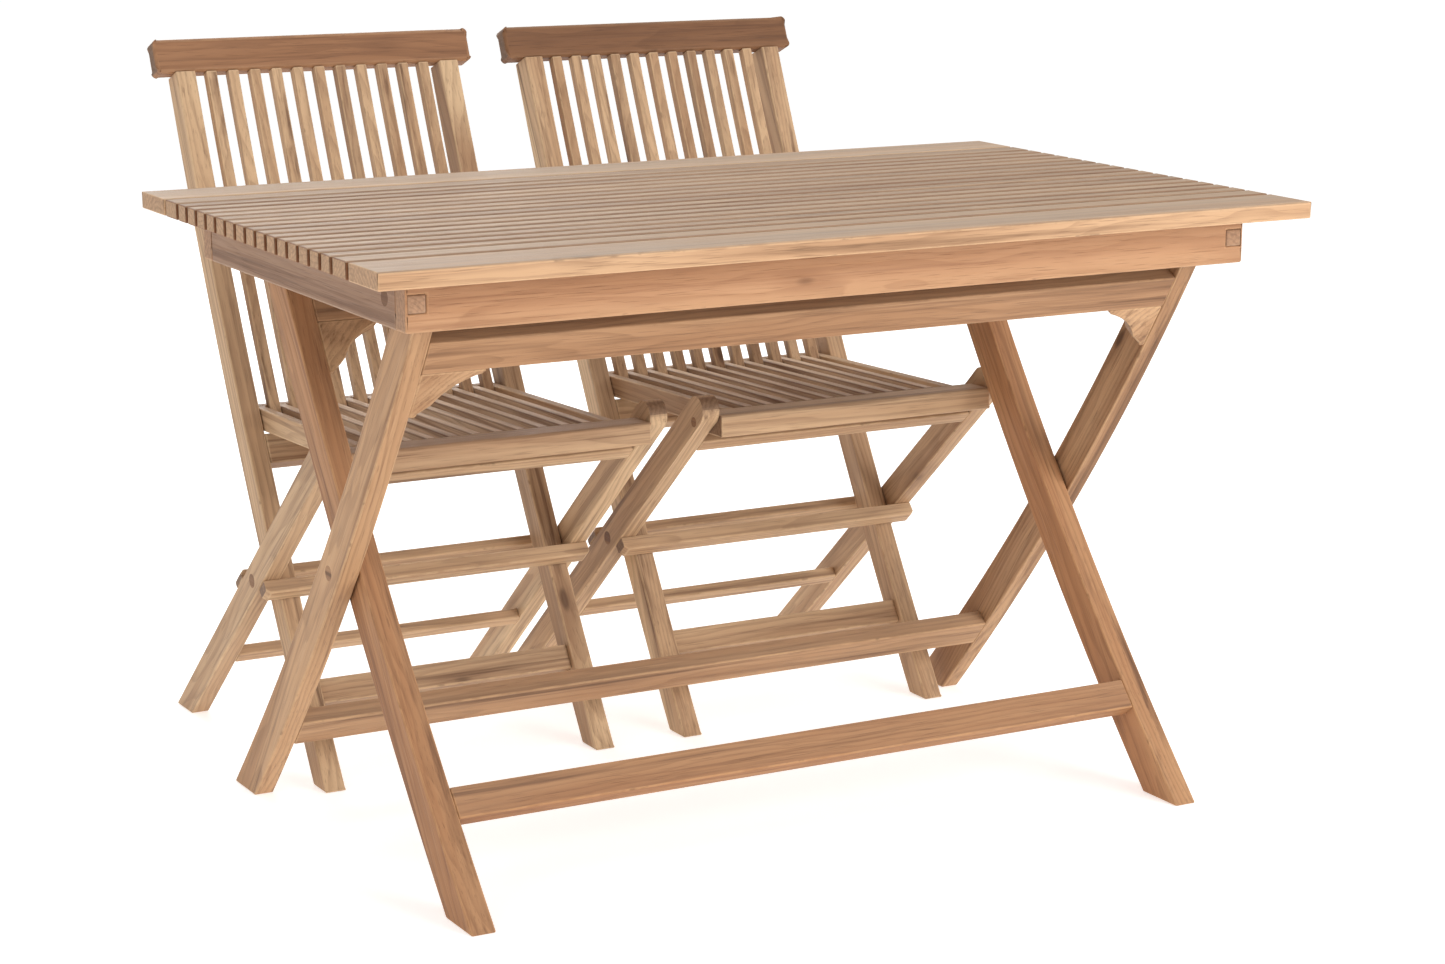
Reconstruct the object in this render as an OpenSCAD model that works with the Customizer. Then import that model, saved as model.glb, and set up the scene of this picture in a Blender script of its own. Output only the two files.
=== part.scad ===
// Garden dining set: a folding table with a slatted top on two crossed leg
// frames, and two folding chairs with slatted seats that pass between the
// slats of their backs.
// Units are millimetres. +Z is up and the floor is Z = 0. +X runs along the
// table's long side. The chairs stand behind the table (+Y) and face -Y.
// The origin is on the floor under the middle of the whole set.

/* [Table top] */
// Length of the table top
table_l = 1200; // [1100:10:1300]
// Height of the table top above the floor
table_h = 740; // [738:1:742]
// Width of the two edge slats
edge_slat_w = 77; // [74:1:80]
// Width of the two slats next to the edge slats
outer_slat_w = 36; // [34:1:38]
// Width of the narrow slats
narrow_slat_w = 24.5; // [23:0.5:25.5]
// Number of narrow slats
narrow_slat_n = 15; // [13:1:15]
// Overall width of the table top
table_w = 710; // [706:1:714]
// Thickness of the slats
slat_t = 20; // [19:1:21]

/* [Table frame] */
// Height of the apron rails
apron_h = 57; // [50:1:60]
// Thickness of the apron rails
apron_t = 26; // [24:1:26]
// Setback of the apron from the ends of the top
apron_dx = 55; // [50:1:55]
// Setback of the apron from the long edges of the top
apron_dy = 58; // [55:1:58]
// Width of the legs, across their length
leg_w = 50; // [46:1:50]
// Thickness of the legs
leg_t = 24; // [22:1:24]
// Thickness of the inner legs
in_leg_t = 30; // [24:1:30]
// Thickness of the rails between the legs
rail_t = 22; // [18:1:24]
// Width of the low stretchers, along the legs
stretcher_w = 46; // [40:1:50]

/* [Chairs] */
// Chair stile thickness, seen from the front
stile_t = 26.5; // [24:0.5:26.5]
// Chair stile width, seen from the side
stile_w = 35; // [32:1:36]
// Width over the two stiles
stile_span = 401; // [396:1:401]
// Number of slats in the back
back_slat_n = 11; // [9:1:11]
// Width of a back slat
back_slat_w = 14; // [12:0.5:14]
// Depth of a back slat
back_slat_d = 14; // [12:1:14]
// Width of a seat slat
seat_slat_w = 13.4; // [11:0.2:13.4]
// Length of the top rail
top_rail_l = 448; // [440:2:460]
// Height of the top rail
top_rail_h = 46; // [42:1:48]
// Thickness of the top rail
top_rail_t = 24; // [20:1:26]
// Short leg thickness
short_leg_t = 24; // [22:0.5:24]
// Short leg width
short_leg_w = 38; // [34:1:38]
// Left chair, centre along the table
chair_l_x = -236; // [-260:1:-235]
// Left chair, gap from the table's middle line to the front feet
chair_l_y = 221; // [215:1:230]
// Right chair, centre along the table
chair_r_x = 265; // [258:1:265]
// Right chair, gap from the table's middle line to the front feet
chair_r_y = 217; // [217:1:230]

/* [Fastenings] */
// Diameter of the pivot bolts
bolt_d = 8; // [7:0.5:8]
// Radial running clearance of the pivot bolts
run_c = 0.05; // [0.02:0.01:0.08]
// Diameter of the wood plugs over the bolt heads
plug_d = 18; // [16:1:18]

/* [Hidden] */
$fn = 48;
e = 0.01;

// ---- table derived values
slat_gap = (table_w - 2*edge_slat_w - 2*outer_slat_w
            - narrow_slat_n*narrow_slat_w) / (narrow_slat_n + 3);
z_under = table_h - slat_t;                 // underside of the slats
ax = table_l/2 - apron_dx;                  // outer face of the side aprons
ay = table_w/2 - apron_dy;                  // outer face of the long aprons
z_apron = z_under - apron_h;                // bottom of the apron
// bowed legs: distance from the middle line as a function of height
foot_y = 287;
bow_s = 0.93;
bow_c = 0.00024;
function leg_y(z) = foot_y - bow_s*z + bow_c*z*z;
function leg_dy(z) = -bow_s + 2*bow_c*z;
leg_r = leg_w/2;
hinge_z = z_under - leg_r - 1;              // centre of the rounded leg tops
hinge_y = leg_y(hinge_z);                   // negative: near the front apron
pivot_z = (bow_s - sqrt(bow_s*bow_s - 4*bow_c*foot_y)) / (2*bow_c);
xo = ax - apron_t - 3;                      // outer face of the outer legs
xi = xo - leg_t - 3;                        // outer face of the inner legs

// ---- chair derived values (each chair's own axes: y = 0 at the front feet)
s_y0 = 17;
s_s = 0.66;
s_c = 0.00014;
function st_y(z) = s_y0 + s_s*z - s_c*z*z;
function st_dy(z) = s_s - 2*s_c*z;
sx = stile_span/2;                          // outer face of the stiles
sxi = sx - stile_t;                         // inner face of the stiles
lx = sx + 2;                                // inner face of the short legs
lxo = lx + short_leg_t;                     // outer face of the short legs
sl_y0 = 430;                                // short leg centre line on the floor
sl_s = 1.125;
function sl_y(z) = sl_y0 - sl_s*z;
sl_a = atan(sl_s);                          // short leg lean from vertical
cross_z = 236;                              // crossing of stile and short leg
cross_y = sl_y(cross_z);
seat_pz = 436;                              // seat hinge height
seat_py = sl_y(seat_pz) - 12.5;             // seat hinge, front to back
leg_top_z = 451;                            // centre of the rounded leg top
seat_z = 446;                               // top of the seat above its hinge
seat_tilt = 1.9;                            // the seat falls slightly to the rear
slat_h = 16;                                // height of the seat slats
side_h = 27.5;                              // height of the seat side rails
rear_y = st_y(seat_z - 11) + 3.5;           // front face of the seat's rear rail
lane = (2*sxi + back_slat_w)/(back_slat_n + 1);
top_a = atan(st_dy(850));                   // lean of the top rail
top_z = 864;                                // centre of the top rail
top_y = st_y(top_z);
chair_back = max(chair_l_y, chair_r_y) + top_y
             + top_rail_h/2*sin(top_a) + top_rail_t/2*cos(top_a);
// shift that puts the origin under the middle of the set
y0 = (chair_back - table_w/2)/2;

teak = [0.69, 0.52, 0.36];
teak_light = [0.78, 0.62, 0.44];
teak_dark = [0.58, 0.42, 0.28];
steel = [0.72, 0.72, 0.7];

// ---- helpers
// extrude a (y, z) outline along X from x0 to x1
module along_x(x0, x1) {
  translate([x0, 0, 0]) rotate([90, 0, 90]) linear_extrude(height = x1 - x0) children();
}
// cylinder along X
module cyl_x(x0, x1, r, y, z) {
  translate([x0, y, z]) rotate([0, 90, 0]) cylinder(h = x1 - x0, r = r);
}
// point at height z on a curve of half width w to one side
function side_pt(y, dy, z, w) = [y + w/sqrt(1 + dy*dy), z - w*dy/sqrt(1 + dy*dy)];
// outline of a bowed table leg: m = 1 for the outer frame, -1 for the inner one
module bowed_outline(m) {
  n = 26;
  dy = leg_dy(hinge_z);
  k = leg_r/sqrt(1 + dy*dy);
  intersection() {
    polygon(concat(
      [for (i = [0:n]) let(z = -40 + (hinge_z + 40)*i/n) let(q = side_pt(leg_y(z), leg_dy(z), z, leg_r)) [m*q[0], q[1]]],
      [for (i = [1:23]) [m*(hinge_y + k*(cos(7.5*i) + dy*sin(7.5*i))), hinge_z + k*(sin(7.5*i) - dy*cos(7.5*i))]],
      [for (i = [n:-1:0]) let(z = -40 + (hinge_z + 40)*i/n) let(q = side_pt(leg_y(z), leg_dy(z), z, -leg_r)) [m*q[0], q[1]]]));
    translate([-600, 0]) square([1200, 900]);
  }
}
// board between the legs: from height za to zb along the bowed leg, with its
// outer face flush with the leg's front face
module between_legs(m, side, za, zb, t, x0, x1) {
  along_x(x0, x1) {
    n = 4;
    w0 = side*leg_r;
    w1 = side*(leg_r - t);
    polygon(concat(
      [for (i = [0:n]) let(z = za + (zb - za)*i/n) let(q = side_pt(leg_y(z), leg_dy(z), z, w0)) [m*q[0], q[1]]],
      [for (i = [n:-1:0]) let(z = za + (zb - za)*i/n) let(q = side_pt(leg_y(z), leg_dy(z), z, w1)) [m*q[0], q[1]]]));
  }
}
module box(x0, x1, y0_, y1, z0, z1) {
  translate([x0, y0_, z0]) cube([x1 - x0, y1 - y0_, z1 - z0]);
}

// ---- table top
module table_slat(y1, w) {
  translate([0, 0, 0]) rotate([90, 0, 90]) translate([0, 0, -table_l/2]) linear_extrude(height = table_l)
    polygon([[y1, z_under], [y1 + w, z_under], [y1 + w, table_h - 1.5], [y1 + w - 1.5, table_h],
             [y1 + 1.5, table_h], [y1, table_h - 1.5]]);
}
module table_edge_slats_() {
  table_slat(-table_w/2, edge_slat_w);
  table_slat(table_w/2 - edge_slat_w, edge_slat_w);
}
module table_outer_slats_() {
  o = edge_slat_w + slat_gap;
  table_slat(-table_w/2 + o, outer_slat_w);
  table_slat(table_w/2 - o - outer_slat_w, outer_slat_w);
}
module table_narrow_slats_() {
  o = edge_slat_w + outer_slat_w + 2*slat_gap;
  for (i = [0:narrow_slat_n - 1])
    table_slat(-table_w/2 + o + i*(narrow_slat_w + slat_gap), narrow_slat_w);
}
// through tenons of the side aprons show in the faces of the long aprons
ten_h = 20;
ten_z = z_apron + apron_h/2 - ten_h/2 + 2;
module long_apron_(s) {
  difference() {
    box(-ax, ax, s > 0 ? ay - apron_t : -ay, s > 0 ? ay : -ay + apron_t, z_apron, z_under);
    for (m = [-1, 1])
      box(m > 0 ? ax - apron_t + 2 : -ax + 2, m > 0 ? ax - 2 : -ax + apron_t - 2,
          s > 0 ? ay - apron_t - 1 : -ay - 1, s > 0 ? ay + 1 : -ay + apron_t + 1, ten_z, ten_z + ten_h);
  }
}
module side_apron_(s) {
  x0 = s > 0 ? ax - apron_t : -ax;
  difference() {
    union() {
      box(x0, x0 + apron_t, -ay + apron_t, ay - apron_t, z_apron, z_under);
      box(x0 + 2, x0 + apron_t - 2, -ay, ay, ten_z, ten_z + ten_h);
    }
    cyl_x(x0 - 1, x0 + apron_t + 1, bolt_d/2 + run_c, hinge_y, hinge_z);
    if (s > 0) cyl_x(ax - 12, ax + 1, plug_d/2 + 0.1, hinge_y, hinge_z);
    else cyl_x(-ax - 1, -ax + 12, plug_d/2 + 0.1, hinge_y, hinge_z);
  }
}
// cross battens that hold the slats together, screwed from below
bear_t = 18;
bear_w = 40;
module table_bearers_() {
  for (x = [-260, 0, 260])
    difference() {
      box(x - bear_w/2, x + bear_w/2, -ay + apron_t, ay - apron_t, z_under - bear_t, z_under);
      for (y = [-240, -160, -80, 0, 80, 160, 240]) {
        translate([x, y, z_under - bear_t - 1]) cylinder(h = bear_t + 2, r = 2.2);
        translate([x, y, z_under - bear_t - 1]) cylinder(h = 4, r = 4.2);
      }
    }
}
module table_bearer_screws_() {
  for (x = [-260, 0, 260], y = [-240, -160, -80, 0, 80, 160, 240]) {
    translate([x, y, z_under - bear_t]) cylinder(h = bear_t, r = 2);
    translate([x, y, z_under - bear_t]) cylinder(h = 3, r = 4);
  }
}

// ---- table leg frames
module outer_leg_(s) {
  x0 = s > 0 ? xo - leg_t : -xo;
  difference() {
    along_x(x0, x0 + leg_t) bowed_outline(1);
    // threaded insert bore of the hinge bolt, open towards the side apron
    if (s > 0) cyl_x(xo - 18, xo + 1, bolt_d/2 + 0.02, hinge_y, hinge_z);
    else cyl_x(-xo - 1, -xo + 18, bolt_d/2 + 0.02, hinge_y, hinge_z);
    // running bore and counterbore of the crossing bolt
    cyl_x(x0 - 1, x0 + leg_t + 1, bolt_d/2 + run_c, 0, pivot_z);
    if (s > 0) cyl_x(xo - 11, xo + 1, plug_d/2 + 0.1, 0, pivot_z);
    else cyl_x(-xo - 1, -xo + 11, plug_d/2 + 0.1, 0, pivot_z);
  }
}
module inner_leg_(s) {
  x0 = s > 0 ? xi - in_leg_t : -xi;
  difference() {
    along_x(x0, x0 + in_leg_t) bowed_outline(-1);
    if (s > 0) cyl_x(xi - 18, xi + 1, bolt_d/2 + 0.02, 0, pivot_z);
    else cyl_x(-xi - 1, -xi + 18, bolt_d/2 + 0.02, 0, pivot_z);
  }
}
ixo = xo - leg_t;      // inner face of the outer legs
ixi = xi - in_leg_t;      // inner face of the inner legs
rail_za = 615;
rail_zb = 653;
module outer_top_rail_() { between_legs(1, -1, rail_za, rail_zb, rail_t, -ixo, ixo); }
in_za = 588;
module inner_top_rail_() { between_legs(-1, 1, in_za, in_za + 40, rail_t, -ixi, ixi); }
str_za = 98;
module outer_stretcher_() { between_legs(1, -1, str_za, str_za + stretcher_w*0.735, rail_t, -ixo, ixo); }
module inner_stretcher_() { between_legs(-1, 1, str_za - 12, str_za - 12 + stretcher_w*0.63, rail_t, -ixi, ixi); }
// curved gussets under the top rails: drawn flat, then laid along the leg
gus_l = 78;
gus_h = 64;
gus_t = 20;
module gusset_outline() {
  difference() {
    polygon([[0, 0], [gus_l, 0], [gus_l, -3], [9, -gus_h + 4], [6, -gus_h], [0, -gus_h]]);
    translate([gus_l + 18, -gus_h - 22]) circle(r = 82, $fn = 96);
  }
}
module gussets(m, side, za, xleg) {
  dy = leg_dy(za - 25);
  q = side_pt(leg_y(za - 0.4), leg_dy(za - 0.4), za - 0.4, side*(leg_r - 1));
  mirror([0, m > 0 ? 0 : 1, 0]) for (s = [-1, 1])
    translate([s*xleg, q[0], q[1]]) rotate([-atan(dy), 0, 0]) translate([0, side > 0 ? 0 : gus_t, 0])
      mirror([s > 0 ? 1 : 0, 0, 0]) rotate([90, 0, 0]) linear_extrude(height = gus_t) gusset_outline();
}
module outer_gussets_() { gussets(1, -1, rail_za, ixo); }
module inner_gussets_() { gussets(-1, 1, in_za, ixi); }

// ---- table fastenings
module bolt_x(s, x_head, x_end, y, z) {
  // a bolt along X: s = -1 on the left with its head outwards
  cyl_x(min(s*x_head, s*x_end), max(s*x_head, s*x_end), bolt_d/2, y, z);
  if (s > 0) cyl_x(x_head, x_head + 4, 7.5, y, z); else cyl_x(-x_head - 4, -x_head, 7.5, y, z);
}
module washer_x(s, x0, x1, y, z) {
  difference() {
    if (s > 0) cyl_x(x0, x1, 11, y, z); else cyl_x(-x1, -x0, 11, y, z);
    if (s > 0) cyl_x(x0 - 1, x1 + 1, bolt_d/2 + 0.3, y, z); else cyl_x(-x1 - 1, -x0 + 1, bolt_d/2 + 0.3, y, z);
  }
}
module table_hinge_bolts_() {
  for (s = [-1, 1]) {
    bolt_x(s, ax - 12 + 0.4, xo - 17, hinge_y, hinge_z);
    washer_x(s, xo + 0.01, ax - apron_t - 0.5, hinge_y, hinge_z);
  }
}
module table_pivot_bolts_() {
  for (s = [-1, 1]) {
    bolt_x(s, xo - 11 + 0.4, xi - 17, 0, pivot_z);
    washer_x(s, xi + 0.01, ixo - 0.5, 0, pivot_z);
  }
}
module plug_x(s, x1, depth, y, z) {
  if (s > 0) cyl_x(x1 - depth, x1, plug_d/2, y, z); else cyl_x(-x1, -x1 + depth, plug_d/2, y, z);
}
module table_hinge_plugs_() { for (s = [-1, 1]) plug_x(s, ax, 6, hinge_y, hinge_z); }
module table_pivot_plugs_() { for (s = [-1, 1]) plug_x(s, xo, 5.5, 0, pivot_z); }

// ---- chair, in its own axes
module stile_outline(w0, w1, z0, z1, n) {
  polygon(concat(
    [for (i = [0:n]) let(z = z0 + (z1 - z0)*i/n) side_pt(st_y(z), st_dy(z), z, w0)],
    [for (i = [n:-1:0]) let(z = z0 + (z1 - z0)*i/n) side_pt(st_y(z), st_dy(z), z, w1)]));
}
top_cut = top_z - top_rail_h/2*cos(top_a);
module stile_(s) {
  x0 = s > 0 ? sxi : -sx;
  difference() {
    along_x(x0, x0 + stile_t) intersection() {
      stile_outline(-stile_w/2, stile_w/2, -40, 900, 28);
      // flat foot, and a shoulder against the underside of the top rail
      polygon([[-80, 0], [300, 0], [700, 500],
               [top_y - top_rail_h/2*sin(top_a) + 60*cos(top_a), top_z - top_rail_h/2*cos(top_a) - 60*sin(top_a)],
               [top_y - top_rail_h/2*sin(top_a) - 60*cos(top_a), top_z - top_rail_h/2*cos(top_a) + 60*sin(top_a)],
               [-80, 300]]);
    }
    if (s > 0) cyl_x(sx - 18, sx + 1, bolt_d/2 + 0.02, cross_y, cross_z);
    else cyl_x(-sx - 1, -sx + 18, bolt_d/2 + 0.02, cross_y, cross_z);
  }
}
module chair_top_rail_() {
  r = 7;
  translate([0, top_y, top_z]) rotate([-top_a, 0, 0]) rotate([90, 0, 0])
    translate([0, 0, -top_rail_t/2]) linear_extrude(height = top_rail_t) union() {
      square([top_rail_l - 2*r, top_rail_h], center = true);
      square([top_rail_l, top_rail_h - 2*r], center = true);
      for (a = [-1, 1], b = [-1, 1]) translate([a*(top_rail_l/2 - r), b*(top_rail_h/2 - r)]) circle(r = r);
    }
}
low_za = 363;
low_zb = 398;
module back_slats_() {
  for (i = [1:back_slat_n]) {
    xc = -sxi - back_slat_w/2 + i*lane;
    along_x(xc - back_slat_w/2, xc + back_slat_w/2) intersection() {
      stile_outline(-stile_w/2 + 3, -stile_w/2 + 3 + back_slat_d, low_zb - 20, 900, 20);
      polygon([side_pt(st_y(low_zb), st_dy(low_zb), low_zb, -60),
               side_pt(st_y(low_zb), st_dy(low_zb), low_zb, 60), [700, 500],
               [top_y - top_rail_h/2*sin(top_a) + 60*cos(top_a), top_z - top_rail_h/2*cos(top_a) - 60*sin(top_a)],
               [top_y - top_rail_h/2*sin(top_a) - 60*cos(top_a), top_z - top_rail_h/2*cos(top_a) + 60*sin(top_a)]]);
    }
  }
}
module lower_rail_() {
  along_x(-sxi, sxi) stile_outline(-stile_w/2, -stile_w/2 + 28, low_za, low_zb, 4);
}
module front_stretcher_() {
  along_x(-sxi, sxi) stile_outline(-10, 10, 89, 89 + 27, 3);
}
// points along the short leg: d down from the crossing towards the rear foot,
// w to the upper side
function slp(d, w) = [cross_y + d*sin(sl_a) + w*cos(sl_a), cross_z - d*cos(sl_a) + w*sin(sl_a)];
leg_end = (leg_top_z - cross_z)/cos(sl_a);
module short_leg_(s) {
  x0 = s > 0 ? lx : -lxo;
  difference() {
    along_x(x0, x0 + short_leg_t) intersection() {
      polygon(concat([slp(420, short_leg_w/2), slp(420, -short_leg_w/2)],
        [for (i = [0:24]) slp(-leg_end - short_leg_w/2*sin(7.5*i), -short_leg_w/2*cos(7.5*i))]));
      translate([-300, 0]) square([1000, 900]);
    }
    cyl_x(x0 - 1, x0 + short_leg_t + 1, bolt_d/2 + run_c, cross_y, cross_z);
    if (s > 0) cyl_x(lxo - 9, lxo + 1, plug_d/2 + 0.1, cross_y, cross_z);
    else cyl_x(-lxo - 1, -lxo + 9, plug_d/2 + 0.1, cross_y, cross_z);
    cyl_x(x0 - 1, x0 + short_leg_t + 1, 3 + run_c, seat_py, seat_pz);
    if (s > 0) cyl_x(lxo - 9, lxo + 1, 6.6, seat_py, seat_pz);
    else cyl_x(-lxo - 1, -lxo + 9, 6.6, seat_py, seat_pz);
  }
}
// rail between the legs under the seat
module leg_rail_() {
  along_x(-lx, lx) polygon([slp(-274, -short_leg_w/2), slp(-252, -short_leg_w/2),
                            slp(-252, -short_leg_w/2 + 16), slp(-274, -short_leg_w/2 + 16)]);
}
module rear_stretcher_() {
  along_x(-lx, lx) polygon([slp(172, -short_leg_w/2), slp(193, -short_leg_w/2),
                            slp(193, -short_leg_w/2 + 15), slp(172, -short_leg_w/2 + 15)]);
}
// stop bars: one in the front wedge, one in the rear wedge of the crossing
bar_x = 226;
module stop_bar(d0, d1, w0, w1, up) {
  c = 5;
  translate([0, cross_y, cross_z]) rotate([sl_a - 90, 0, 0]) {
    // here y runs down the leg and z to its upper side
    difference() {
      translate([-bar_x, 0, 0]) rotate([90, 0, 90]) linear_extrude(height = 2*bar_x)
        translate([d0, w0]) square([d1 - d0, w1 - w0]);
      // chamfers at the ends of the outer face
      for (s = [-1, 1])
        translate([s*bar_x, d0 - 1, up > 0 ? w1 : w0]) rotate([0, 45, 0])
          translate([-c/1.41421, 0, -c/1.41421]) cube([2*c/1.41421, d1 - d0 + 2, 2*c/1.41421]);
    }
  }
}
module stop_bars_() {
  stop_bar(-35, -14, -short_leg_w/2 - 19, -short_leg_w/2, -1);
  stop_bar(29, 55, short_leg_w/2, short_leg_w/2 + 14, 1);
}
module leg_plugs_() {
  for (s = [-1, 1]) {
    plug_x(s, lxo, 4, cross_y, cross_z);
    if (s > 0) cyl_x(lxo - 4, lxo, 6.5, seat_py, seat_pz); else cyl_x(-lxo, -lxo + 4, 6.5, seat_py, seat_pz);
  }
}
// seat: members run front to back in the lanes between the back slats and
// end in a rear rail that lies behind the back slats
fr_y0 = -101;
fr_y1 = -57;
fr_h = 28.5;
seat_end = rear_y + 17;
module tilt_seat() {
  translate([0, seat_py, seat_pz]) rotate([-seat_tilt, 0, 0]) translate([0, -seat_py, -seat_pz]) children();
}
module seat_front_rail_() {
  r = 4;
  difference() {
    tilt_seat() translate([-lx + 1, 0, 0]) rotate([90, 0, 90]) linear_extrude(height = 2*lx - 2) union() {
      translate([fr_y0 + r, seat_z - fr_h]) square([fr_y1 - fr_y0 - r, fr_h]);
      translate([fr_y0, seat_z - fr_h + r]) square([r + 1, fr_h - 2*r]);
      translate([fr_y0 + r, seat_z - fr_h + r]) circle(r = r);
      translate([fr_y0 + r, seat_z - r]) circle(r = r);
    }
    for (s = [-1, 1]) if (s > 0) cyl_x(lx - 21, lx + 1, 3.02, seat_py, seat_pz);
                      else cyl_x(-lx - 1, -lx + 21, 3.02, seat_py, seat_pz);
  }
}
module seat_side_rails_() {
  for (s = [-1, 1]) {
    xc = s*(sxi + back_slat_w/2 - lane/2);
    tilt_seat() along_x(xc - seat_slat_w/2, xc + seat_slat_w/2)
      polygon([[fr_y1, seat_z - fr_h + 3], [fr_y1, seat_z], [rear_y, seat_z],
               [rear_y, seat_z - side_h], [fr_y1 + 40, seat_z - side_h]]);
  }
}
module seat_slats_() {
  for (i = [1:back_slat_n - 1]) {
    xc = -sxi - back_slat_w/2 + (i + 0.5)*lane;
    tilt_seat() box(xc - seat_slat_w/2, xc + seat_slat_w/2, fr_y1, rear_y, seat_z - slat_h, seat_z);
  }
}
module seat_rear_rail_() {
  xr = sxi + back_slat_w/2 - lane/2 + seat_slat_w/2;
  tilt_seat() box(-xr, xr, rear_y, seat_end, seat_z - 23, seat_z);
}
module cross_bolts_() {
  for (s = [-1, 1]) {
    bolt_x(s, lxo - 9 + 0.4, sx - 17, cross_y, cross_z);
    washer_x(s, sx + 0.01, lx - 0.5, cross_y, cross_z);
  }
}
module seat_bolts_() {
  for (s = [-1, 1]) {
    cyl_x(min(s*(lxo - 8.6), s*(lx - 20)), max(s*(lxo - 8.6), s*(lx - 20)), 3, seat_py, seat_pz);
    if (s > 0) cyl_x(lxo - 8.6, lxo - 5, 6, seat_py, seat_pz); else cyl_x(-lxo + 5, -lxo + 8.6, 6, seat_py, seat_pz);
  }
}

// ---- placing
module T() { translate([0, -y0, 0]) children(); }
module L() { translate([chair_l_x, chair_l_y - y0, 0]) children(); }
module R() { translate([chair_r_x, chair_r_y - y0, 0]) children(); }

module table_edge_slats() { color(teak) T() table_edge_slats_(); }
module table_outer_slats() { color(teak_light) T() table_outer_slats_(); }
module table_narrow_slats() { color(teak) T() table_narrow_slats_(); }
module table_front_apron() { color(teak_dark) T() long_apron_(-1); }
module table_rear_apron() { color(teak_dark) T() long_apron_(1); }
module table_left_apron() { color(teak) T() side_apron_(-1); }
module table_right_apron() { color(teak) T() side_apron_(1); }
module table_bearers() { color(teak_dark) T() table_bearers_(); }
module table_bearer_screws() { color(steel) T() table_bearer_screws_(); }
module outer_leg_left() { color(teak_light) T() outer_leg_(-1); }
module outer_leg_right() { color(teak_light) T() outer_leg_(1); }
module outer_top_rail() { color(teak_dark) T() outer_top_rail_(); }
module outer_gussets() { color(teak) T() outer_gussets_(); }
module outer_stretcher() { color(teak_dark) T() outer_stretcher_(); }
module inner_leg_left() { color(teak) T() inner_leg_(-1); }
module inner_leg_right() { color(teak) T() inner_leg_(1); }
module inner_top_rail() { color(teak_dark) T() inner_top_rail_(); }
module inner_gussets() { color(teak) T() inner_gussets_(); }
module inner_stretcher() { color(teak_dark) T() inner_stretcher_(); }
module table_hinge_bolts() { color(steel) T() table_hinge_bolts_(); }
module table_pivot_bolts() { color(steel) T() table_pivot_bolts_(); }
module table_hinge_plugs() { color(teak_dark) T() table_hinge_plugs_(); }
module table_pivot_plugs() { color(teak_dark) T() table_pivot_plugs_(); }

module lc_stile_left() { color(teak_light) L() stile_(-1); }
module lc_stile_right() { color(teak_light) L() stile_(1); }
module lc_top_rail() { color(teak) L() chair_top_rail_(); }
module lc_back_slats() { color(teak_dark) L() back_slats_(); }
module lc_lower_rail() { color(teak_dark) L() lower_rail_(); }
module lc_front_stretcher() { color(teak_dark) L() front_stretcher_(); }
module lc_leg_left() { color(teak) L() short_leg_(-1); }
module lc_leg_right() { color(teak) L() short_leg_(1); }
module lc_leg_rail() { color(teak_dark) L() leg_rail_(); }
module lc_stop_bars() { color(teak_light) L() stop_bars_(); }
module lc_rear_stretcher() { color(teak_dark) L() rear_stretcher_(); }
module lc_leg_plugs() { color(teak_dark) L() leg_plugs_(); }
module lc_seat_side_rails() { color(teak) L() seat_side_rails_(); }
module lc_seat_slats() { color(teak_light) L() seat_slats_(); }
module lc_seat_front_rail() { color(teak) L() seat_front_rail_(); }
module lc_seat_rear_rail() { color(teak_dark) L() seat_rear_rail_(); }
module lc_cross_bolts() { color(steel) L() cross_bolts_(); }
module lc_seat_bolts() { color(steel) L() seat_bolts_(); }

module rc_stile_left() { color(teak_light) R() stile_(-1); }
module rc_stile_right() { color(teak_light) R() stile_(1); }
module rc_top_rail() { color(teak) R() chair_top_rail_(); }
module rc_back_slats() { color(teak_dark) R() back_slats_(); }
module rc_lower_rail() { color(teak_dark) R() lower_rail_(); }
module rc_front_stretcher() { color(teak_dark) R() front_stretcher_(); }
module rc_leg_left() { color(teak) R() short_leg_(-1); }
module rc_leg_right() { color(teak) R() short_leg_(1); }
module rc_leg_rail() { color(teak_dark) R() leg_rail_(); }
module rc_stop_bars() { color(teak_light) R() stop_bars_(); }
module rc_rear_stretcher() { color(teak_dark) R() rear_stretcher_(); }
module rc_leg_plugs() { color(teak_dark) R() leg_plugs_(); }
module rc_seat_side_rails() { color(teak) R() seat_side_rails_(); }
module rc_seat_slats() { color(teak_light) R() seat_slats_(); }
module rc_seat_front_rail() { color(teak) R() seat_front_rail_(); }
module rc_seat_rear_rail() { color(teak_dark) R() seat_rear_rail_(); }
module rc_cross_bolts() { color(steel) R() cross_bolts_(); }
module rc_seat_bolts() { color(steel) R() seat_bolts_(); }

table_edge_slats();
table_outer_slats();
table_narrow_slats();
table_front_apron();
table_rear_apron();
table_left_apron();
table_right_apron();
table_bearers();
table_bearer_screws();
outer_leg_left();
outer_leg_right();
outer_top_rail();
outer_gussets();
outer_stretcher();
inner_leg_left();
inner_leg_right();
inner_top_rail();
inner_gussets();
inner_stretcher();
table_hinge_bolts();
table_hinge_plugs();
table_pivot_bolts();
table_pivot_plugs();
lc_stile_left();
lc_stile_right();
lc_top_rail();
lc_back_slats();
lc_lower_rail();
lc_front_stretcher();
lc_leg_left();
lc_leg_right();
lc_leg_rail();
lc_stop_bars();
lc_rear_stretcher();
lc_leg_plugs();
lc_seat_side_rails();
lc_seat_slats();
lc_seat_front_rail();
lc_seat_rear_rail();
lc_cross_bolts();
lc_seat_bolts();
rc_stile_left();
rc_stile_right();
rc_top_rail();
rc_back_slats();
rc_lower_rail();
rc_front_stretcher();
rc_leg_left();
rc_leg_right();
rc_leg_rail();
rc_stop_bars();
rc_rear_stretcher();
rc_leg_plugs();
rc_seat_side_rails();
rc_seat_slats();
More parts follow.
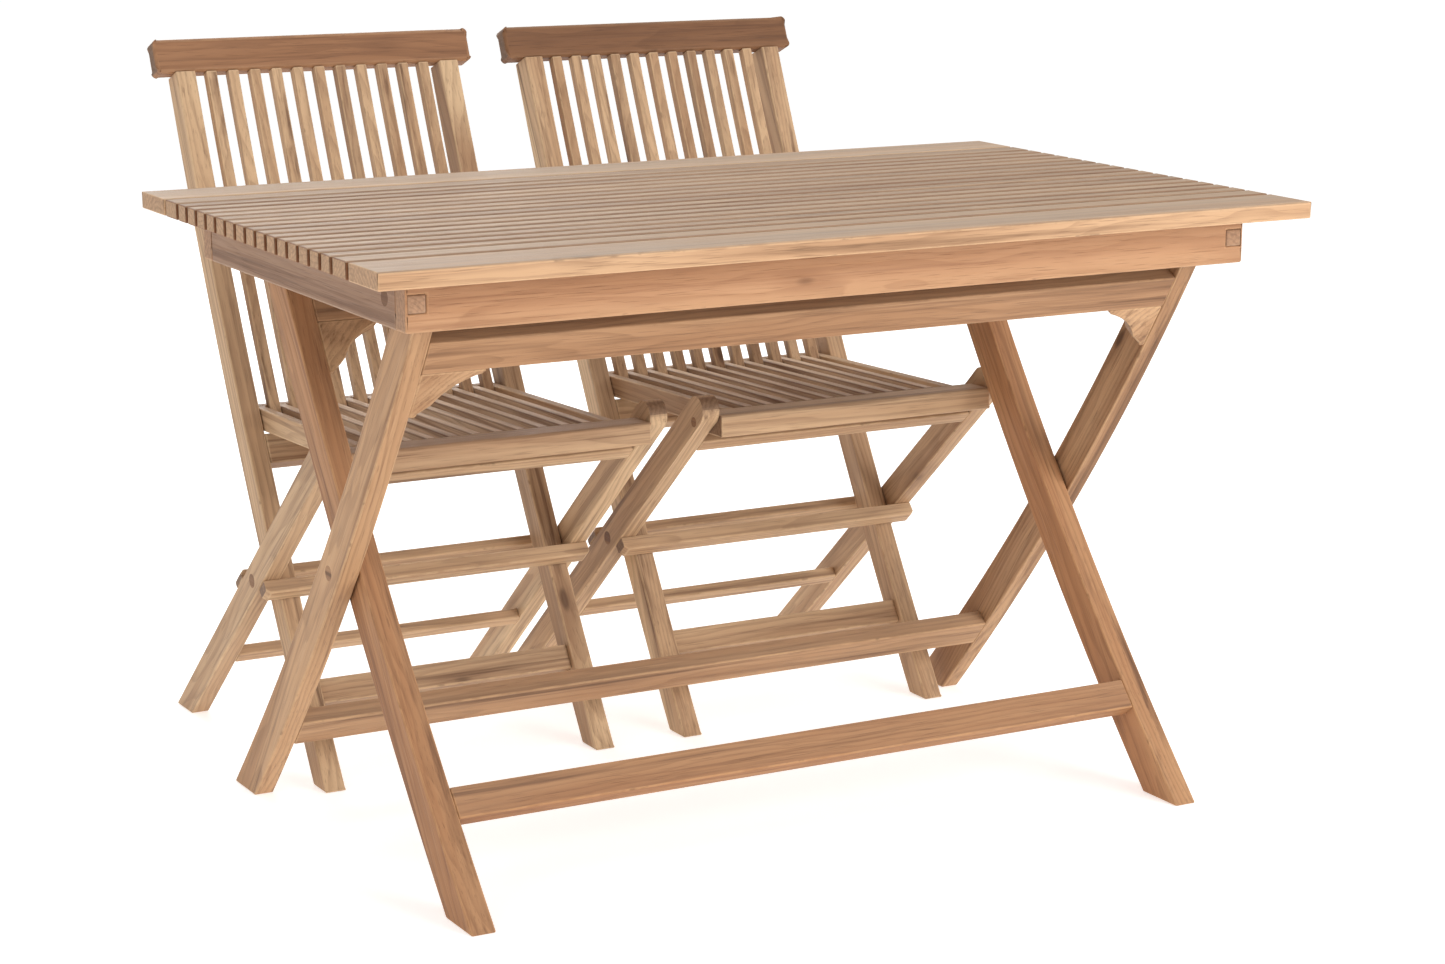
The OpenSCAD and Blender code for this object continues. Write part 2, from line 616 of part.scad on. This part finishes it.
rc_seat_front_rail();
rc_seat_rear_rail();
rc_cross_bolts();
rc_seat_bolts();
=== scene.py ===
import bpy, math
import numpy as np
from mathutils import Matrix, Vector

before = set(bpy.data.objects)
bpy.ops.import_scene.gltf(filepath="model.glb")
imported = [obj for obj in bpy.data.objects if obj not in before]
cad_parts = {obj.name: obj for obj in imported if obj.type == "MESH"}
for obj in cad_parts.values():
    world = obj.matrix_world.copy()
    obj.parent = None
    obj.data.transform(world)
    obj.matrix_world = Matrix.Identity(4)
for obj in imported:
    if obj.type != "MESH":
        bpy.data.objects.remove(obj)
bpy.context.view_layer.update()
scene = bpy.context.scene


def lin(c):
    """sRGB 0-255 to linear"""
    out = []
    for v in c:
        v /= 255.0
        out.append(v / 12.92 if v <= 0.04045 else ((v + 0.055) / 1.055) ** 2.4)
    return (*out, 1.0)


# ---------------------------------------------------------------- node graph helpers
class Graph:
    def __init__(self, name):
        self.m = bpy.data.materials.new(name)
        self.m.use_nodes = True
        self.t = self.m.node_tree
        self.t.nodes.clear()

    def node(self, kind, **inputs):
        n = self.t.nodes.new(kind)
        for k, v in inputs.items():
            self.put(n, k, v)
        return n

    def put(self, n, key, v):
        s = n.inputs[int(key[1:])] if key[0] == "_" and key[1:].isdigit() else n.inputs[key]
        if isinstance(v, bpy.types.NodeSocket):
            self.t.links.new(v, s)
        else:
            s.default_value = v

    def math(self, op, a, b=None, c=None, clamp=False):
        n = self.t.nodes.new("ShaderNodeMath")
        n.operation = op
        n.use_clamp = clamp
        for i, v in enumerate((a, b, c)):
            if v is not None:
                self.put(n, "_%d" % i, v)
        return n.outputs[0]

    def vmath(self, op, a, b=None, scale=None):
        n = self.t.nodes.new("ShaderNodeVectorMath")
        n.operation = op
        self.put(n, "_0", a)
        if b is not None:
            self.put(n, "_1", b)
        if scale is not None:
            self.put(n, "Scale", scale)
        return n.outputs["Value"] if op in ("DOT_PRODUCT", "LENGTH") else n.outputs["Vector"]

    def comb(self, x, y, z):
        n = self.t.nodes.new("ShaderNodeCombineXYZ")
        for i, v in enumerate((x, y, z)):
            self.put(n, "_%d" % i, v)
        return n.outputs[0]

    def noise(self, vec, detail=2.0, rough=0.5, scale=1.0, dist=0.0):
        n = self.t.nodes.new("ShaderNodeTexNoise")
        self.put(n, "Vector", vec)
        n.inputs["Scale"].default_value = scale
        n.inputs["Detail"].default_value = detail
        n.inputs["Roughness"].default_value = rough
        n.inputs["Distortion"].default_value = dist
        return n.outputs["Fac"] if "Fac" in n.outputs else n.outputs[0]

    def remap(self, v, a, b, c=0.0, d=1.0, smooth=True):
        n = self.t.nodes.new("ShaderNodeMapRange")
        n.interpolation_type = "SMOOTHSTEP" if smooth else "LINEAR"
        n.clamp = True if not smooth else n.clamp
        self.put(n, "Value", v)
        for k, x in (("From Min", a), ("From Max", b), ("To Min", c), ("To Max", d)):
            n.inputs[k].default_value = x
        return n.outputs[0]

    def mix(self, f, a, b, kind="MIX"):
        n = self.t.nodes.new("ShaderNodeMix")
        n.data_type = "RGBA"
        n.blend_type = kind
        n.clamp_factor = True
        for s, v in ((n.inputs[0], f), (n.inputs[6], a), (n.inputs[7], b)):
            if isinstance(v, bpy.types.NodeSocket):
                self.t.links.new(v, s)
            else:
                s.default_value = v
        return n.outputs[2]

    def finish(self, color, rough, bump, strength, dist, metallic=0.0, spec=0.35, aniso=0.0, coat=0.0):
        b = self.t.nodes.new("ShaderNodeBsdfPrincipled")
        o = self.t.nodes.new("ShaderNodeOutputMaterial")
        self.put(b, "Base Color", color)
        self.put(b, "Roughness", rough)
        b.inputs["Metallic"].default_value = metallic
        b.inputs["Specular IOR Level"].default_value = spec
        if aniso:
            b.inputs["Anisotropic"].default_value = aniso
        if bump is not None:
            bn = self.t.nodes.new("ShaderNodeBump")
            bn.inputs["Strength"].default_value = strength
            bn.inputs["Distance"].default_value = dist
            self.put(bn, "Height", bump)
            self.t.links.new(bn.outputs[0], b.inputs["Normal"])
        self.t.links.new(b.outputs[0], o.inputs[0])
        return self.m


def wood(name, base, light, dark, grey, end, grain, across, ring=0.0062, grey_amt=0.5,
         streak_amt=0.6, sap_amt=0.6, tone=0.5, edge=False, pale=0.0, gap=0.0, gap_shade_col=None):
    """Teak boards. grain and across are unit vectors: along the board, and across its broad face."""
    g = Graph(name)
    G = Vector(grain).normalized()
    H = Vector(across)
    H = (H - G * H.dot(G)).normalized()
    K = G.cross(H)
    tc = g.node("ShaderNodeTexCoord")
    ctr = g.node("ShaderNodeAttribute"); ctr.attribute_name = "board_centre"
    rnd = g.node("ShaderNodeAttribute"); rnd.attribute_name = "board_random"
    rs = g.node("ShaderNodeSeparateXYZ", Vector=rnd.outputs["Vector"])
    r1, r2, r3 = rs.outputs
    p = g.vmath("SUBTRACT", tc.outputs["Object"], ctr.outputs["Vector"])
    u = g.vmath("DOT_PRODUCT", p, tuple(G))
    v = g.vmath("DOT_PRODUCT", p, tuple(H))
    w = g.vmath("DOT_PRODUCT", p, tuple(K))
    off = g.math("MULTIPLY", r3, 37.0)
    us = g.math("ADD", u, off)

    def coords(su, sv):
        return g.comb(g.math("MULTIPLY", us, su), g.math("MULTIPLY", v, sv), g.math("MULTIPLY", w, sv))

    # growth rings round a heart beside the board, drifting along its length
    drift = g.noise(coords(1.7, 9.0), 3.0, 0.55)
    drift2 = g.noise(coords(6.0, 60.0), 2.0, 0.5)
    cv = g.math("MULTIPLY_ADD", r1, 0.11, -0.055)
    cw = g.math("MULTIPLY_ADD", r2, 0.05, 0.028)
    dv = g.math("ADD", v, cv)
    dw = g.math("ADD", w, cw)
    rad = g.math("SQRT", g.math("ADD", g.math("MULTIPLY", dv, dv), g.math("MULTIPLY", dw, dw)))
    rad = g.math("ADD", rad, g.math("MULTIPLY", drift, 0.055))
    rad = g.math("ADD", rad, g.math("MULTIPLY", drift2, 0.004))
    saw = g.math("FRACT", g.math("DIVIDE", rad, ring))
    late = g.math("MULTIPLY", g.remap(saw, 0.35, 0.92), g.remap(saw, 1.0, 0.93))
    fibre = g.noise(coords(9.0, 430.0), 2.0, 0.6)
    pores = g.remap(g.noise(coords(22.0, 900.0), 1.0, 0.5), 0.60, 0.74)
    tonev = g.noise(coords(1.1, 22.0), 3.0, 0.55)
    streak = g.remap(g.noise(coords(1.1, 40.0), 4.0, 0.62), 0.50, 0.70)
    fine = g.remap(g.noise(coords(2.2, 120.0), 3.0, 0.6), 0.53, 0.68)

    col = g.mix(g.remap(tonev, 0.34, 0.64), base, light)
    bt = g.math("MULTIPLY_ADD", r1, 2 * tone, -tone)            # board's own tone
    col = g.mix(g.math("MAXIMUM", bt, 0.0), col, light)
    col = g.mix(g.math("MULTIPLY", g.math("MAXIMUM", g.math("MULTIPLY", bt, -1.0), 0.0), 0.9), col, dark)
    # pale sapwood along one edge of some boards
    side = g.math("SUBTRACT", g.math("MULTIPLY", g.math("SUBTRACT", r2, 0.5), 4.0), 0.0)
    sapv = g.math("ADD", g.math("MULTIPLY", v, side), g.math("MULTIPLY", drift, 0.03))
    sap = g.math("MULTIPLY", g.remap(sapv, 0.018, 0.034), g.remap(r3, 0.30, 0.5, 0.0, sap_amt))
    sapc = tuple(min(1.0, c * k) for c, k in zip(light[:3], (1.12, 1.18, 1.2))) + (1.0,)
    col = g.mix(sap, col, sapc)
    col = g.mix(g.math("MULTIPLY", late, 0.27), col, dark)
    col = g.mix(g.math("MULTIPLY", streak, streak_amt), col, dark)
    deep = tuple(c * 0.55 for c in dark[:3]) + (1.0,)
    col = g.mix(g.math("MULTIPLY", g.math("MULTIPLY", streak, fine), 0.65), col, deep)
    col = g.mix(g.math("MULTIPLY", fine, 0.42), col, dark)
    col = g.mix(g.math("MULTIPLY", pores, 0.38), col, deep)
    col = g.mix(g.remap(fibre, 0.3, 0.7, 0.0, 0.18), col, light)
    # sparse small knots
    vo = g.node("ShaderNodeTexVoronoi", Vector=coords(4.0, 11.0))
    vo.inputs["Scale"].default_value = 1.0
    kd = vo.outputs["Distance"]
    knot = g.remap(g.math("ADD", kd, g.math("MULTIPLY", drift2, 0.05)), 0.11, 0.055)
    halo = g.remap(kd, 0.24, 0.07)
    col = g.mix(g.math("MULTIPLY", halo, 0.30), col, dark)
    col = g.mix(g.math("MULTIPLY", knot, 0.75), col, deep)
    # sun-greyed upward faces
    nv = g.node("ShaderNodeSeparateXYZ", Vector=tc.outputs["Normal"])
    up = g.remap(nv.outputs[2], 0.35, 0.9)
    patch = g.noise(coords(2.0, 20.0), 3.0, 0.6)
    gf = g.math("MULTIPLY", up, g.remap(patch, 0.25, 0.75, 0.55 * grey_amt, grey_amt))
    col = g.mix(gf, col, grey)
    # end grain
    e = g.math("ABSOLUTE", g.vmath("DOT_PRODUCT", tc.outputs["Normal"], tuple(G)))
    em = g.remap(e, 0.80, 0.93)
    q = g.comb(g.math("MULTIPLY", us, 60.0), g.math("MULTIPLY", v, 240.0), g.math("MULTIPLY", w, 240.0))
    blotch = g.noise(q, 3.0, 0.6)
    endc = g.mix(g.remap(blotch, 0.3, 0.7), end, tuple(c * 0.72 for c in end[:3]) + (1.0,))
    endc = g.mix(g.math("MULTIPLY", late, 0.22), endc, deep)
    col = g.mix(em, col, endc)
    # painted shade: arrises of close-set slats darkened toward the gap colour, as shade lining the gaps
    if edge and gap:
        col = g.mix(0.55, col, gap_shade_col)
    elif edge:   # rubbed arrises: paler, with a few dark bruises
        rub = g.noise(coords(30.0, 60.0), 3.0, 0.6)
        col = g.mix(g.remap(rub, 0.35, 0.6, 0.15, 0.5), col, sapc)
        col = g.mix(g.remap(rub, 0.62, 0.72, 0.0, 0.4), col, deep)
    if gap:    # painted shade: side faces of close-set slats darkened to the gap colour, as shade falling between the slats
        gap_side_shade = g.remap(g.math("ABSOLUTE", g.vmath("DOT_PRODUCT", tc.outputs["Normal"], tuple(H if abs(H.z) < 0.5 else K))), 0.6, 0.9, 0.0, gap)
        col = g.mix(gap_side_shade, col, gap_shade_col)
    rough = g.remap(fibre, 0.2, 0.8, 0.52, 0.70)
    h = g.math("ADD", g.math("MULTIPLY", fibre, 0.5), g.math("MULTIPLY", late, -0.15))
    h = g.math("ADD", h, g.math("MULTIPLY", pores, -0.6))
    h = g.math("ADD", h, g.math("MULTIPLY", g.math("MULTIPLY", em, blotch), 0.8))
    h = g.math("ADD", h, g.math("MULTIPLY", knot, -0.5))
    return g.finish(col, rough, h, 0.5, 0.0008, spec=0.32)


def steel():
    g = Graph("brushed_steel")
    tc = g.node("ShaderNodeTexCoord")
    s = g.vmath("MULTIPLY", tc.outputs["Object"], (60.0, 900.0, 900.0))
    n = g.noise(s, 2.0, 0.6)
    n2 = g.noise(g.vmath("MULTIPLY", tc.outputs["Object"], (180.0, 180.0, 180.0)), 3.0, 0.6)
    col = g.mix(g.remap(n, 0.3, 0.7), lin((168, 167, 163)), lin((206, 205, 200)))
    col = g.mix(g.remap(n2, 0.62, 0.8, 0.0, 0.35), col, lin((120, 104, 88)))
    return g.finish(col, g.remap(n, 0.2, 0.8, 0.28, 0.46), n, 0.15, 0.0002, metallic=1.0, spec=0.5, aniso=0.4)


# ---------------------------------------------------------------- colours (sRGB)
TOP = dict(base=lin((168, 134, 104)), light=lin((190, 158, 126)), dark=lin((122, 86, 58)),
           grey=lin((170, 152, 134)), end=lin((190, 152, 118)))
APR = dict(base=lin((168, 122, 86)), light=lin((184, 140, 104)), dark=lin((134, 88, 58)),
           grey=lin((172, 150, 130)), end=lin((176, 138, 108)))
LEG = dict(base=lin((166, 124, 88)), light=lin((192, 152, 114)), dark=lin((98, 62, 38)),
           grey=lin((172, 152, 132)), end=lin((146, 114, 88)))
INN = dict(base=lin((170, 118, 78)), light=lin((192, 144, 102)), dark=lin((104, 62, 36)),
           grey=lin((172, 152, 132)), end=lin((146, 114, 88)))
CHR = dict(base=lin((170, 132, 98)), light=lin((202, 168, 132)), dark=lin((104, 68, 44)),
           grey=lin((168, 146, 124)), end=lin((138, 108, 84)))
RAIL = dict(base=lin((146, 102, 70)), light=lin((164, 120, 86)), dark=lin((98, 62, 40)),
            grey=lin((156, 132, 110)), end=lin((124, 94, 72)))

X, Y, Z = (1, 0, 0), (0, 1, 0), (0, 0, 1)


def lean(o):
    """Long direction of a leg or stile, in the YZ plane, from its own vertices."""
    co = np.array([v.co for v in o.data.vertices])[:, 1:]
    co = co - co.mean(0)
    d = np.linalg.svd(co, full_matrices=False)[2][0]
    if d[1] < 0:
        d = -d
    return (0.0, float(d[0]), float(d[1]))


def spec_of(n, o):
    """palette, grain, across, options for one CAD node"""
    k = n[3:] if n[:3] in ("lc_", "rc_") else n
    if n == "table_edge_slats":
        return dict(TOP, base=lin((190, 146, 108)), light=lin((208, 168, 130))), X, Y, dict(grey_amt=0.8, streak_amt=0.45, tone=0.15, sap_amt=0.5)
    if n.startswith("table_") and "slats" in n:
        # the dark gap colour here is painted shade between the table slats
        return TOP, X, Y, dict(grey_amt=0.5, streak_amt=0.75, tone=0.6, sap_amt=0.6, gap=0.9, gap_shade_col=lin((118, 72, 42)))
    if n in ("table_left_apron", "table_right_apron"):
        # side aprons: palette darker than the front aprons as painted shade on the table's side faces, and greyer in
        # tone
        return dict(APR, base=lin((150, 118, 94)), light=lin((166, 134, 110)), dark=lin((120, 86, 64))), Y, Z, dict(grey_amt=0.3, streak_amt=0.5, tone=0.2)
    if n in ("table_front_apron", "table_rear_apron"):
        return APR, X, Z, dict(grey_amt=0.3, streak_amt=0.5, tone=0.25)
    if n == "table_bearers":
        return APR, Y, X, dict(grey_amt=0.2)
    if n in ("outer_leg_left", "outer_leg_right"):
        return LEG, lean(o), Y, dict(grey_amt=0.2, streak_amt=0.75, tone=0.2, sap_amt=0.8)
    if n in ("inner_leg_left", "inner_leg_right"):
        return INN, lean(o), Y, dict(grey_amt=0.2, streak_amt=0.6, tone=0.2, sap_amt=0.5)
    if n in ("outer_gussets", "inner_gussets"):
        return LEG, (0.6, 0.0, 0.8), Y, dict(grey_amt=0.2, tone=0.3)
    if n in ("outer_top_rail", "inner_top_rail"):
        return dict(LEG, base=lin((156, 114, 80)), light=lin((174, 132, 96))), X, Z, dict(grey_amt=0.3, streak_amt=0.6, tone=0.2)
    if n.startswith(("outer_", "inner_")):
        return (LEG if n.startswith("outer") else INN), X, Z, dict(grey_amt=0.35, streak_amt=0.6, tone=0.3)
    if k in ("stile_left", "stile_right", "leg_left", "leg_right"):
        return CHR, lean(o), Y, dict(grey_amt=0.25, streak_amt=0.5, tone=0.4, sap_amt=0.9)
    if k == "back_slats":
        return CHR, (0.0, 0.32, 0.95), X, dict(grey_amt=0.2, streak_amt=0.5, tone=0.55, sap_amt=0.8)
    if n == "rc_leg_left":
        return dict(CHR, base=lin((134, 100, 74)), light=lin((152, 116, 88)), dark=lin((88, 58, 40))), lean(o), Y, dict(grey_amt=0.25, streak_amt=0.6, tone=0.1)
    if n == "lc_leg_left":
        return dict(CHR, base=lin((156, 126, 104)), light=lin((176, 146, 122)), dark=lin((104, 76, 56))), lean(o), Y, dict(grey_amt=0.3, streak_amt=0.6, tone=0.15, sap_amt=0.8)
    if k == "top_rail" and n[:2] == "rc":
        return dict(RAIL, base=lin((114, 76, 50)), light=lin((132, 92, 62)), dark=lin((76, 46, 28))), X, Z, dict(grey_amt=0.4, streak_amt=0.5, tone=0.2)
    if k == "top_rail":
        return RAIL, X, Z, dict(grey_amt=0.45, streak_amt=0.5, tone=0.2)
    if k == "seat_slats":
        # the dark gap colour here is painted shade between the seat slats
        return dict(CHR, base=lin((200, 168, 136)), light=lin((220, 192, 162)), grey=lin((200, 178, 156))), Y, X, dict(grey_amt=0.5, streak_amt=0.7, tone=0.6, sap_amt=0.6, gap=0.2, gap_shade_col=lin((104, 66, 42)))
    if k == "seat_side_rails":
        return CHR, Y, Z, dict(grey_amt=0.5, streak_amt=0.55, tone=0.3)
    return CHR, X, Z, dict(grey_amt=0.45, streak_amt=0.55, tone=0.35)


def describe(o):
    """Per-board attributes: the centre and three fixed random numbers of each separate
    board in the node, and the edges that get an eased arris."""
    me = o.data
    co = np.array([v.co for v in me.vertices])
    key = {}
    ids = np.empty(len(co), int)
    for i, c in enumerate(np.round(co, 5)):
        ids[i] = key.setdefault(tuple(c), len(key))
    parent = list(range(len(key)))

    def find(a):
        while parent[a] != a:
            parent[a] = parent[parent[a]]
            a = parent[a]
        return a

    for pl in me.polygons:
        vs = [find(ids[v]) for v in pl.vertices]
        for v in vs[1:]:
            parent[find(v)] = find(vs[0])
    roots = np.array([find(i) for i in ids])
    cen = np.zeros((len(co), 3)); rnd = np.zeros((len(co), 3))
    for r in sorted(set(roots), key=lambda r: tuple(co[roots == r].mean(0))):
        s = roots == r
        c = (co[s].min(0) + co[s].max(0)) / 2
        seed = \
            sum(ord(ch) * (i + 1) for i, ch in enumerate(o.name_full)) + int(round(1e4 * (c[0] * 1.3 + c[1] * 2.7 + c[2] * 5.1 + 9)))
        rng = np.random.RandomState(seed % (2**31 - 1))
        cen[s] = c
        rnd[s] = rng.rand(3)
    for nm, arr in (("board_centre", cen), ("board_random", rnd)):
        a = me.attributes.new(nm, "FLOAT_VECTOR", "POINT")
        a.data.foreach_set("vector", arr.astype(np.float32).ravel())
    faces = {}
    for pl in me.polygons:
        vs = list(pl.vertices)
        for i in range(len(vs)):
            a, b = ids[vs[i]], ids[vs[(i + 1) % len(vs)]]
            faces.setdefault((min(a, b), max(a, b)), []).append(pl.normal.copy())
    wts = np.zeros(len(me.edges), np.float32)
    n_on = 0
    for e in me.edges:
        i, j = e.vertices
        a, b = ids[i], ids[j]
        fs = faces.get((min(a, b), max(a, b)), [])
        if len(fs) == 2 and fs[0].angle(fs[1], 0) > math.radians(28) and (co[i] - co[j]).dot(co[i] - co[j]) > 0.006**2:
            wts[e.index] = 1.0
            n_on += 1
    a = me.attributes.new("bevel_weight_edge", "FLOAT", "EDGE")
    a.data.foreach_set("value", wts)
    if "custom_normal" in me.attributes:
        me.attributes.remove(me.attributes["custom_normal"])
    me.polygons.foreach_set("use_smooth", [False] * len(me.polygons))
    return n_on


metal = steel()
for n in sorted(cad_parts):
    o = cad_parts[n]
    me = o.data
    me.materials.clear()
    if "bolts" in n or "screws" in n:
        me.materials.append(metal)
        continue
    on = describe(o)
    if "plugs" in n:
        me.materials.append(wood("plug_" + n, LEG["dark"], LEG["base"], lin((92, 62, 42)), LEG["grey"], lin((150, 116, 88)),
                                 Y, Z, ring=0.003, streak_amt=0.5, tone=0.4))
        continue
    pal, grain, across, opt = spec_of(n, o)
    me.materials.append(wood("wood_" + n, pal["base"], pal["light"], pal["dark"], pal["grey"], pal["end"], grain, across, **opt))
    me.materials.append(wood("arris_" + n, pal["base"], pal["light"], pal["dark"], pal["grey"], pal["end"], grain, across, edge=True, **opt))
    m = o.modifiers.new("weld", "WELD"); m.merge_threshold = 1e-5
    m = o.modifiers.new("arris", "BEVEL")
    m.limit_method = "WEIGHT"
    m.width = 0.005 if "top_rail" in n and n[1] == "c" else (0.0025 if n.startswith("table_") else 0.002)
    if "slats" in n:
        m.width = 0.0016
    m.segments = 4 if m.width > 0.004 else 3
    m.use_clamp_overlap = False
    m.material = 1

# ---------------------------------------------------------------- floor, light, camera
fm = Graph("pale_floor")
ft = fm.node("ShaderNodeTexCoord")
fn = fm.noise(fm.vmath("MULTIPLY", ft.outputs["Object"], (3.0, 3.0, 3.0)), 2.0, 0.5)
fmat = fm.finish(fm.mix(fn, (0.86, 0.86, 0.855, 1), (0.885, 0.885, 0.88, 1)), 0.9, None, 0, 0, spec=0.1)
fb = [x for x in fm.t.nodes if x.type == "BSDF_PRINCIPLED"][0]
fb.inputs["Emission Color"].default_value = (1, 1, 1, 1)
fb.inputs["Emission Strength"].default_value = 0.52
bpy.ops.mesh.primitive_plane_add(size=60, location=(0, 0, -0.0005))
floor = bpy.context.active_object
floor.name = "floor"
floor.data.materials.append(fmat)

world = bpy.data.worlds.new("studio")
scene.world = world
world.use_nodes = True
bg = world.node_tree.nodes.get("Background") or world.node_tree.nodes.new("ShaderNodeBackground")
bg.inputs[0].default_value = (1.0, 0.995, 0.985, 1)
bg.inputs[1].default_value = 0.58
bg2 = world.node_tree.nodes.new("ShaderNodeBackground")     # plain white behind the set
bg2.inputs[0].default_value = (1, 1, 1, 1)
bg2.inputs[1].default_value = 1.0
lp = world.node_tree.nodes.new("ShaderNodeLightPath")
mx = world.node_tree.nodes.new("ShaderNodeMixShader")
wo = world.node_tree.nodes.get("World Output") or world.node_tree.nodes.new("ShaderNodeOutputWorld")
world.node_tree.links.new(lp.outputs["Is Camera Ray"], mx.inputs[0])
world.node_tree.links.new(bg.outputs[0], mx.inputs[1])
world.node_tree.links.new(bg2.outputs[0], mx.inputs[2])
world.node_tree.links.new(mx.outputs[0], wo.inputs[0])


def area(name, loc, target, size, power, color=(1, 1, 1)):
    d = bpy.data.lights.new(name, "AREA")
    d.shape = "RECTANGLE"
    d.size, d.size_y = size
    d.energy = power
    d.color = color
    o = bpy.data.objects.new(name, d)
    scene.collection.objects.link(o)
    o.location = loc
    o.rotation_euler = (Vector(target) - Vector(loc)).to_track_quat("-Z", "Y").to_euler()
    return o


area("key", (2.2, -4.6, 2.1), (0, -0.1, 0.45), (2.8, 2.2), 150, (1.0, 0.985, 0.96))
area("top", (0.3, 0.8, 3.6), (0, 0, 0.3), (3.0, 3.0), 38)
area("left", (-3.8, -1.6, 1.6), (0, 0, 0.4), (2.0, 2.0), 18)
area("back", (0.6, 4.4, 2.2), (0, 0, 0.4), (2.6, 2.0), 70)

cam = bpy.data.cameras.new("camera")
cam.sensor_fit = "HORIZONTAL"
cam.sensor_width = 36.0
cam.lens = 80.215
cam.clip_start = 0.05
cam.clip_end = 200
yaw, pitch, roll = math.radians(29.3187), math.radians(12.5451), math.radians(0.3263)
F = Vector((math.sin(yaw) * math.cos(pitch), math.cos(yaw) * math.cos(pitch), -math.sin(pitch)))
R0 = F.cross(Vector((0, 0, 1))).normalized()
U0 = R0.cross(F)
R = R0 * math.cos(roll) + U0 * math.sin(roll)
U = -R0 * math.sin(roll) + U0 * math.cos(roll)
co = bpy.data.objects.new("camera", cam)
scene.collection.objects.link(co)
co.matrix_world = Matrix(((R.x, U.x, -F.x, -1.8700), (R.y, U.y, -F.y, -3.5136), (R.z, U.z, -F.z, 1.2411), (0, 0, 0, 1)))
scene.camera = co
scene.view_settings.view_transform = "Standard"
scene.view_settings.look = "None"
